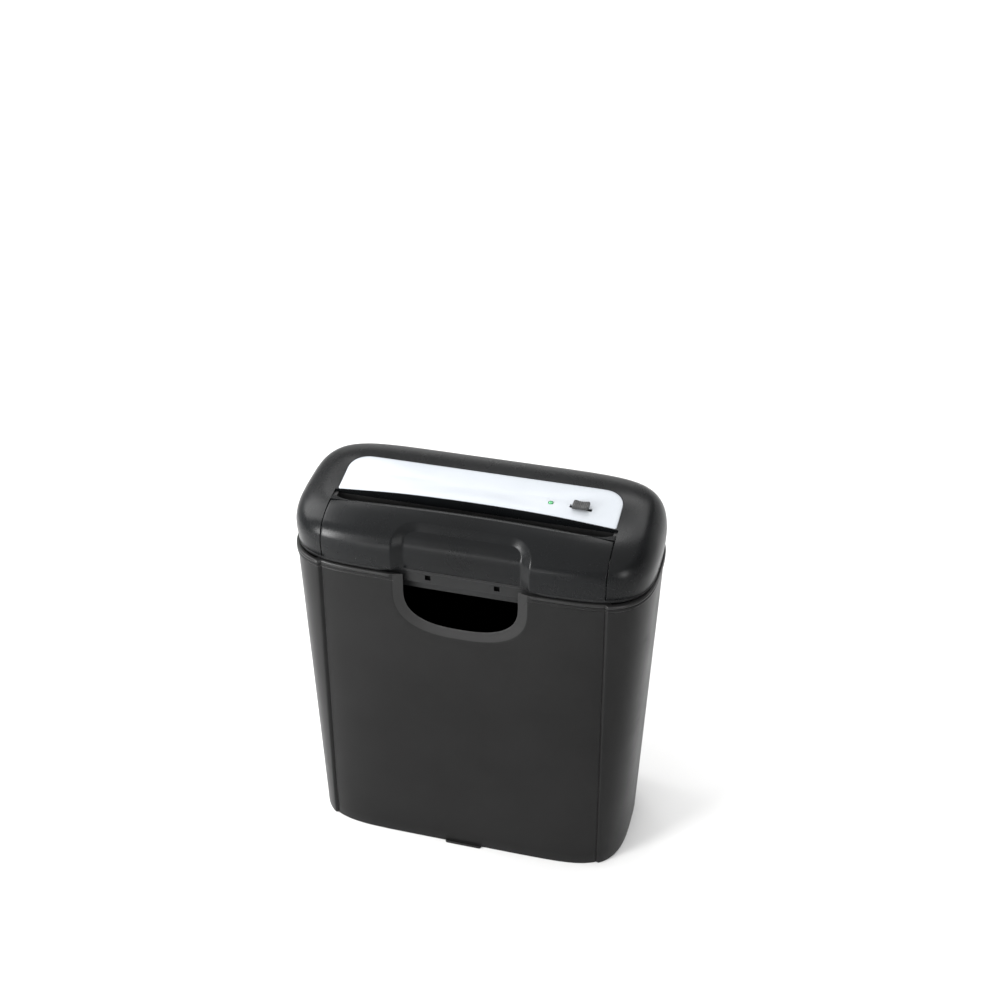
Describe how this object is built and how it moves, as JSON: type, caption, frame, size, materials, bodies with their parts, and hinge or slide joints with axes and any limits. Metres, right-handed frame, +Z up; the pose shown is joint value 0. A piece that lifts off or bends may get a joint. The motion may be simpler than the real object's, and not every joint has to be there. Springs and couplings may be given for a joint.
{
  "type": "paper shredder",
  "caption": "Strip-cut paper shredder: a lift-off cutting head with a feed slot across its top, seated on a tapered waste bin that has a notch in its front rim.",
  "frame": {"origin": "centre of the bin's underside, on the floor", "axes": "+X along the feed slot to the right as seen from the front, +Y to the back, +Z up"},
  "size_m": [0.296, 0.1313, 0.3288],
  "materials": {
    "bin_plastic": "fine satin texture",
    "shell_plastic": "satin",
    "tub_plastic": "fine satin texture",
    "inlay_plastic": "satin light grey",
    "throat_plastic": "matte",
    "knob_plastic": "satin",
    "light_pipe": "clear tinted",
    "nylon": "natural",
    "cutter_steel": "ground, lightly oiled",
    "plate_steel": "zinc plated",
    "rod_steel": "bright",
    "bush_brass": "turned",
    "board_green": "solder mask",
    "relay_blue": "moulded",
    "capacitor_sleeve": "heat-shrunk sleeve",
    "lead_red": "soft",
    "lead_black": "soft",
    "gland_rubber": "matte"
  },
  "bodies": {
    "base": {"bin": "bin_plastic"},
    "head": {"rear_cover": "shell_plastic", "front_cover": "shell_plastic", "top_panel": "inlay_plastic", "lower_shell": "tub_plastic", "paper_throat": "throat_plastic", "lever_pin": "rod_steel", "paper_switch": "throat_plastic", "mode_switch_body": "plate_steel", "status_light": "light_pipe", "interlock_switch": "throat_plastic", "end_plate_left": "plate_steel", "end_plate_right": "plate_steel", "bushing_front_left": "bush_brass", "bushing_front_right": "bush_brass", "bushing_rear_left": "bush_brass", "bushing_rear_right": "bush_brass", "tie_rod_1": "rod_steel", "tie_rod_2": "rod_steel", "tie_rod_3": "rod_steel", "comb_front": "throat_plastic", "comb_rear": "throat_plastic", "gear_axle_1": "rod_steel", "gear_axle_2": "rod_steel", "gear_cover": "throat_plastic", "motor_can": "plate_steel", "motor_end_cap": "throat_plastic", "motor_cradle": "throat_plastic", "circuit_board": "board_green", "relay_forward": "relay_blue", "relay_reverse": "relay_blue", "capacitor": "capacitor_sleeve", "terminal_block": "board_green", "motor_lead_a": "lead_red", "motor_lead_b": "lead_black", "cord_gland": "gland_rubber", "case_screw_1": "rod_steel", "case_screw_2": "rod_steel", "case_screw_3": "rod_steel", "case_screw_4": "rod_steel"},
    "front_cutter": {"cutter_front": "cutter_steel", "sync_gear_front": "cutter_steel"},
    "rear_cutter": {"cutter_rear": "cutter_steel", "sync_gear_rear": "cutter_steel", "drive_gear": "nylon"},
    "second_idler": {"idler_gear_2": "nylon"},
    "first_idler": {"idler_gear_1": "nylon"},
    "rotor": {"motor_rotor": "rod_steel", "motor_pinion": "bush_brass"},
    "lever": {"paper_lever": "nylon"},
    "mode_switch": {"mode_switch_knob": "knob_plastic"},
    "plunger": {"interlock_plunger": "nylon"}
  },
  "joints": [
    {"name": "head_lift", "type": "slide", "parent": "base", "child": "head", "axis": [0, 0, 1], "range_m": [0, 0.248]},
    {"name": "rear_cutter_spin", "type": "hinge", "parent": "head", "child": "rear_cutter", "pos_m": [0, -0.0133, 0.28535], "axis": [1, 0, 0], "continuous": true},
    {"name": "front_cutter_spin", "type": "hinge", "parent": "head", "child": "front_cutter", "pos_m": [0, -0.0367, 0.28535], "axis": [1, 0, 0], "continuous": true},
    {"name": "second_idler_spin", "type": "hinge", "parent": "head", "child": "second_idler", "pos_m": [0.12, 0.0107, 0.28535], "axis": [1, 0, 0], "continuous": true},
    {"name": "first_idler_spin", "type": "hinge", "parent": "head", "child": "first_idler", "pos_m": [0.12, 0.02397, 0.30031], "axis": [1, 0, 0], "continuous": true},
    {"name": "rotor_spin", "type": "hinge", "parent": "head", "child": "rotor", "pos_m": [0.08, 0.036, 0.29135], "axis": [1, 0, 0], "continuous": true},
    {"name": "paper_lever_hinge", "type": "hinge", "parent": "head", "child": "lever", "pos_m": [0, -0.008, 0.30735], "axis": [1, 0, 0], "range_deg": [0, 18], "stiffness_Nm_per_rad": 0.004, "springref_deg": -20.05},
    {"name": "mode_switch_slide", "type": "slide", "parent": "head", "child": "mode_switch", "axis": [1, 0, 0], "range_m": [-0.005, 0.005]},
    {"name": "interlock_press", "type": "slide", "parent": "head", "child": "plunger", "axis": [0, 0, 1], "range_m": [0, 0.003], "stiffness_N_per_m": 150, "springref_m": -0.002}
  ],
  "couplings": [
    {"joint": "front_cutter_spin", "follows": "rear_cutter_spin", "ratio": -1},
    {"joint": "second_idler_spin", "follows": "rear_cutter_spin", "ratio": -3},
    {"joint": "first_idler_spin", "follows": "rear_cutter_spin", "ratio": 12},
    {"joint": "rotor_spin", "follows": "rear_cutter_spin", "ratio": -48}
  ]
}
